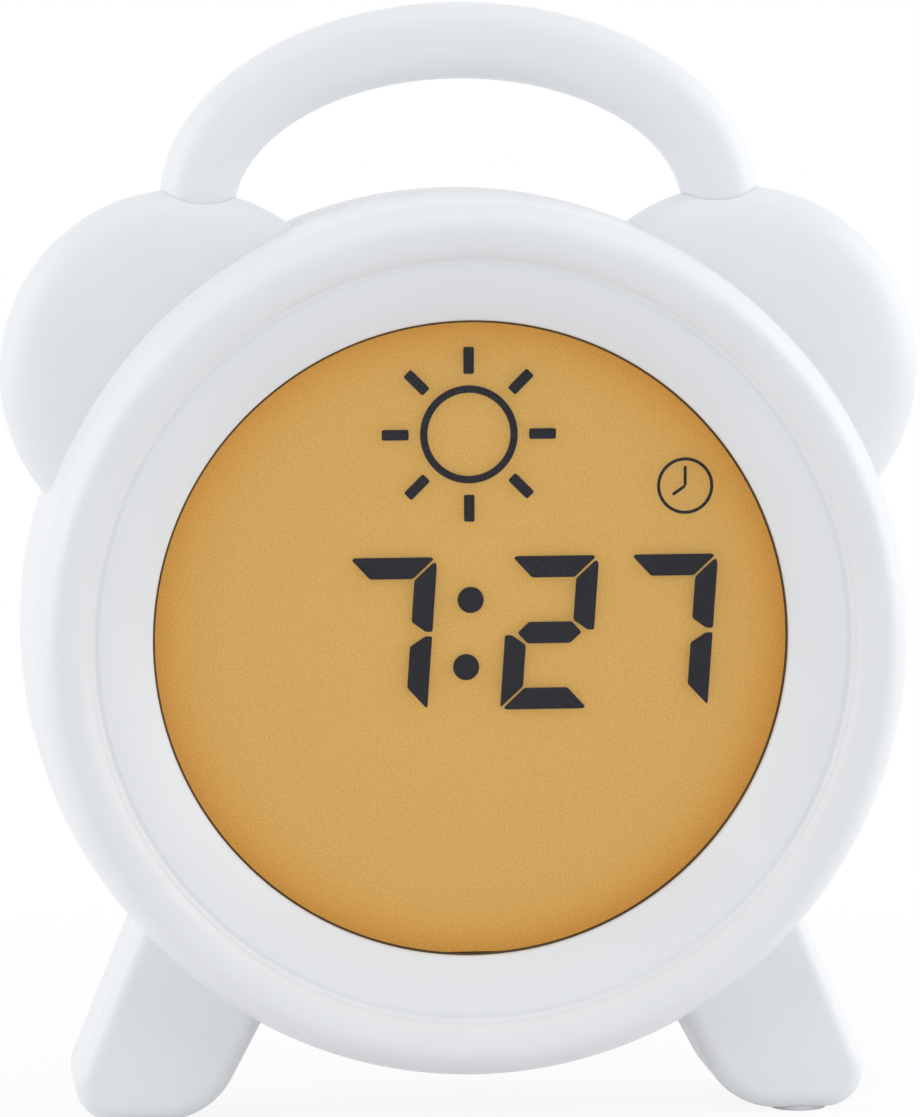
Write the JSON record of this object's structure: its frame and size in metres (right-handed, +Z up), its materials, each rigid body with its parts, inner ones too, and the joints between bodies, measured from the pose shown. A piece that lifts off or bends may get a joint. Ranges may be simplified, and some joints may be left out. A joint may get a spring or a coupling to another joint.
{
  "type": "alarm clock",
  "caption": "Round-faced digital alarm clock with a lit display, two round ears, an arched carrying handle and splayed feet",
  "frame": {"origin": "on the table, at the bottom centre of the clock's bounding box", "axes": "+Z up, the face looks along -Y, +X to the viewer's right, +Y to the back with the controls"},
  "size_m": [0.1306, 0.0456, 0.1575],
  "materials": {
    "shell_white": "satin white moulded shell",
    "sole_rubber": "soft grey-white rubber",
    "black_foam": "matt black foam or paper",
    "clear_window": "clear, flat",
    "film": "smoked film",
    "segment_dark": "near-black navy",
    "seal_grey": "cured adhesive",
    "lit_gold": "gold, lit from behind",
    "tray_white": "white, diffuse",
    "board_green": "solder mask",
    "chip_black": "moulded resin",
    "steel": "plated steel",
    "can_blue": "sleeved can",
    "wire_red": "insulated wire",
    "cell_orange": "sleeved cell",
    "button_grey": "satin grey",
    "button_warm": "satin, warm"
  },
  "bodies": {
    "case": {"front_shell": "shell_white", "rear_shell": "shell_white", "handle": "shell_white", "sole_pads": "sole_rubber", "display_gasket": "black_foam", "display_window": "clear_window", "front_polariser": "film", "front_glass": "clear_window", "display_segments": "segment_dark", "glass_seal": "seal_grey", "rear_glass": "clear_window", "rear_polariser": "film", "light_diffuser": "lit_gold", "light_tray": "tray_white", "night_lamps": "tray_white", "contact_strips": "sole_rubber", "main_board": "board_green", "controller_chip": "chip_black", "clock_crystal": "steel", "capacitors": "can_blue", "push_switches": "chip_black", "board_screws": "steel", "speaker_basket": "steel", "speaker_cone": "black_foam", "speaker_magnet": "steel", "speaker_screws": "steel", "speaker_wires": "wire_red", "battery_cells": "cell_orange", "battery_springs": "steel", "battery_contacts": "steel", "battery_wires": "wire_red", "slide_switches": "steel", "switch_screws": "steel", "charging_socket": "steel", "socket_board": "board_green", "socket_wires": "wire_red", "case_screws": "steel"},
    "battery_door": {"battery_door": "shell_white", "door_screw": "steel"},
    "light_button": {"light_button": "button_warm"},
    "mode_button": {"mode_button": "button_grey"},
    "alarm_button": {"alarm_button": "button_grey"},
    "nap_button": {"nap_button": "button_grey"},
    "up_button": {"up_button": "button_grey"},
    "down_button": {"down_button": "button_grey"},
    "sound_button": {"sound_button": "button_grey"},
    "alarm_slider": {"alarm_slider": "button_grey"},
    "volume_slider": {"volume_slider": "button_grey"}
  },
  "joints": [
    {"name": "door_lift_off", "type": "slide", "parent": "case", "child": "battery_door", "axis": [0, 1, 0], "range_m": [0, 0.02]},
    {"name": "light_press", "type": "slide", "parent": "case", "child": "light_button", "axis": [0, -1, 0], "range_m": [0, 0.0007], "stiffness_N_per_m": 1200, "springref_m": -0.0005},
    {"name": "mode_press", "type": "slide", "parent": "case", "child": "mode_button", "axis": [0, -1, 0], "range_m": [0, 0.0007], "stiffness_N_per_m": 1200, "springref_m": -0.0005},
    {"name": "alarm_press", "type": "slide", "parent": "case", "child": "alarm_button", "axis": [0, -1, 0], "range_m": [0, 0.0007], "stiffness_N_per_m": 1200, "springref_m": -0.0005},
    {"name": "nap_press", "type": "slide", "parent": "case", "child": "nap_button", "axis": [0, -1, 0], "range_m": [0, 0.0007], "stiffness_N_per_m": 1200, "springref_m": -0.0005},
    {"name": "up_press", "type": "slide", "parent": "case", "child": "up_button", "axis": [0, -1, 0], "range_m": [0, 0.0007], "stiffness_N_per_m": 1200, "springref_m": -0.0005},
    {"name": "down_press", "type": "slide", "parent": "case", "child": "down_button", "axis": [0, -1, 0], "range_m": [0, 0.0007], "stiffness_N_per_m": 1200, "springref_m": -0.0005},
    {"name": "sound_press", "type": "slide", "parent": "case", "child": "sound_button", "axis": [0, -1, 0], "range_m": [0, 0.0007], "stiffness_N_per_m": 1200, "springref_m": -0.0005},
    {"name": "alarm_slide", "type": "slide", "parent": "case", "child": "alarm_slider", "axis": [0, 0, 1], "range_m": [0, 0.004]},
    {"name": "volume_slide", "type": "slide", "parent": "case", "child": "volume_slider", "axis": [0, 0, 1], "range_m": [0, 0.004]}
  ]
}
